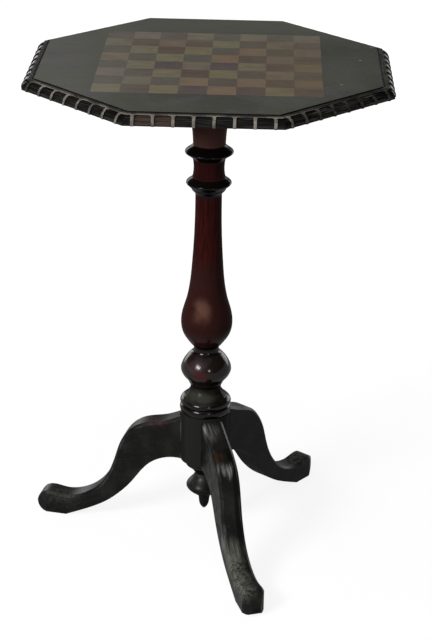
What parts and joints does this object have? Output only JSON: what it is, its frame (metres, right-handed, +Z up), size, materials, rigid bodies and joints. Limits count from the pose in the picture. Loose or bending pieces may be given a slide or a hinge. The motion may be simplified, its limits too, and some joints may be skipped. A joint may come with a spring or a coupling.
{
  "type": "tilt-top chess table",
  "caption": "Octagonal chess table with an inlaid board and carved edge, a top that tilts upright on pivot pins, a turned column with a drop, and a tripod of sawn curved legs.",
  "frame": {"origin": "on the floor, under the axis of the column", "axes": "+Z up; X and Y square to the chessboard's edges, -Y towards the viewer of the picture, the board's near left square light; the top tilts towards -Y"},
  "size_m": [0.5089, 0.5027, 0.73],
  "materials": {
    "ebonised_top": "ebonised, hazy worn polish",
    "light_inlay": "aged satinwood-toned veneer, low sheen",
    "dark_inlay": "aged rosewood-toned veneer, low sheen",
    "carved_edge": "ebonised, worn pale on the ridges",
    "mahogany_column": "dark red polish over mahogany, blackened rings",
    "ebonised_legs": "ebonised, rubbed brown on the knees",
    "underframe_wood": "unpolished hardwood",
    "iron": "dull dark iron",
    "brass": "tarnished brass"
  },
  "bodies": {
    "base": {"column": "mahogany_column", "tenon_wedge": "underframe_wood", "top_block": "underframe_wood", "pivot_pin_left": "iron", "pivot_pin_right": "iron", "strike_plate": "brass", "strike_screws": "brass", "leg_left": "ebonised_legs", "leg_right": "ebonised_legs", "leg_front": "ebonised_legs", "pendant": "ebonised_legs"},
    "top": {"top_board": "ebonised_top", "light_squares": "light_inlay", "dark_squares": "dark_inlay", "edge_front": "carved_edge", "edge_front_right": "carved_edge", "edge_right": "carved_edge", "edge_back_right": "carved_edge", "edge_back": "carved_edge", "edge_back_left": "carved_edge", "edge_left": "carved_edge", "edge_front_left": "carved_edge", "bearer_left": "underframe_wood", "bearer_right": "underframe_wood", "bearer_screws": "iron", "catch_case": "brass", "catch_screws": "brass"},
    "catch": {"catch_bolt": "brass", "catch_knob": "brass"}
  },
  "joints": [
    {"name": "top_tilt", "type": "hinge", "parent": "base", "child": "top", "pos_m": [0, -0.036, 0.7007], "axis": [1, 0, 0], "range_deg": [0, 90]},
    {"name": "catch_slide", "type": "slide", "parent": "top", "child": "catch", "axis": [0, -1, 0], "range_m": [0, 0.009]}
  ]
}
